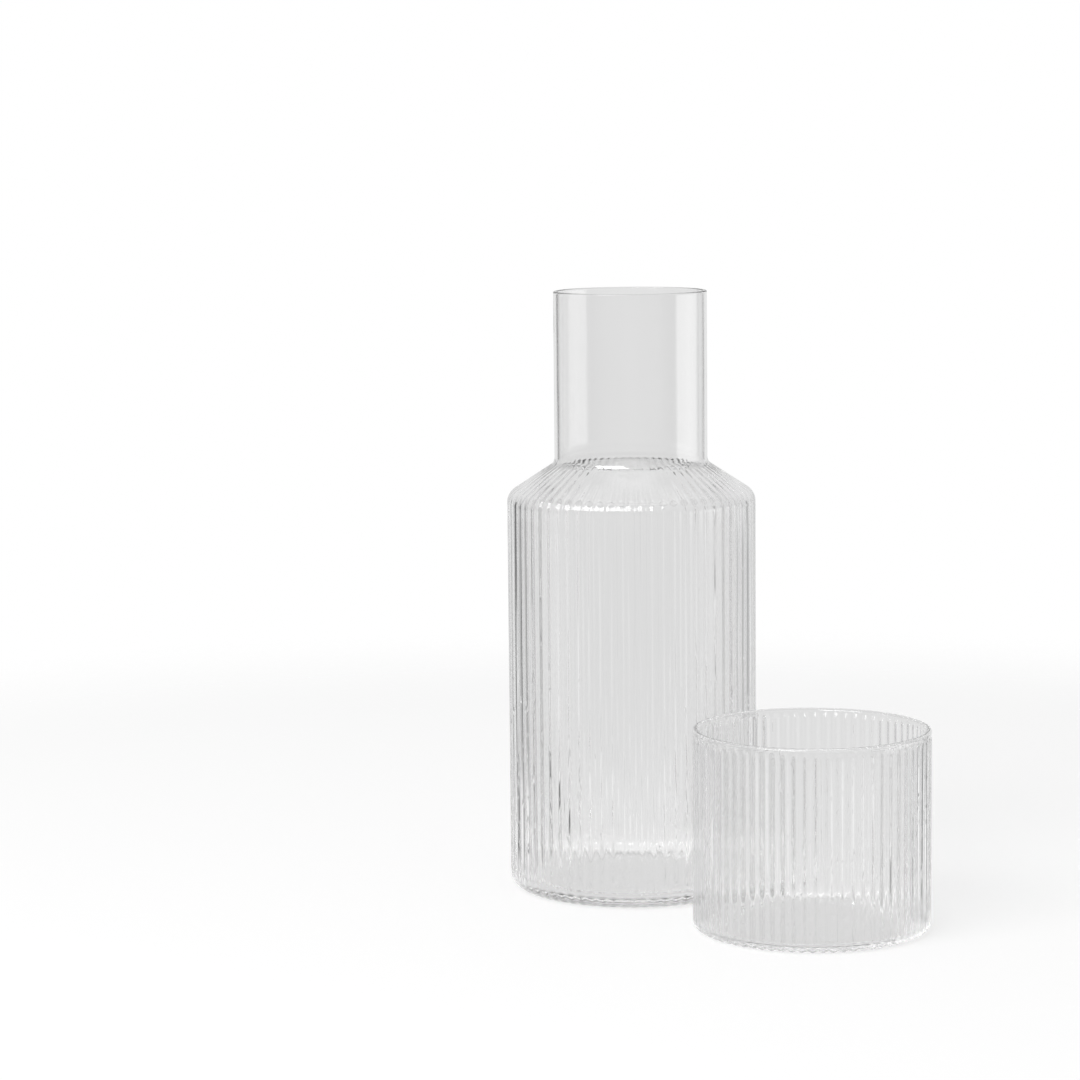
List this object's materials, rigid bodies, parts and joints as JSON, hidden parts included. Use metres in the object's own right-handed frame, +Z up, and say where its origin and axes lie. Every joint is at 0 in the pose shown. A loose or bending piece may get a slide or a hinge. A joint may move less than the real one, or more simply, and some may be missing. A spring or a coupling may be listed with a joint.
{
  "type": "ribbed carafe with tumbler",
  "caption": "Clear glass carafe with upright ribs on its straight body and sloping shoulder and a smooth neck, with a ribbed tumbler standing beside it.",
  "frame": {"origin": "middle of the carafe's foot, on the surface that both glasses stand on", "axes": "+Z up along the carafe's axis; the picture looks along +Y, so the tumbler stands at the front right"},
  "size_m": [0.115, 0.1203, 0.169],
  "materials": {
    "carafe_glass": "clear and smooth, fire-polished rim",
    "tumbler_glass": "clear and smooth, fire-polished rim"
  },
  "bodies": {
    "carafe": {"carafe": "carafe_glass"},
    "tumbler": {"tumbler": "tumbler_glass"}
  },
  "joints": [
    {"name": "tumbler_lift", "type": "slide", "parent": "carafe", "child": "tumbler", "axis": [0, 0, 1], "range_m": [0, 0.18]}
  ]
}
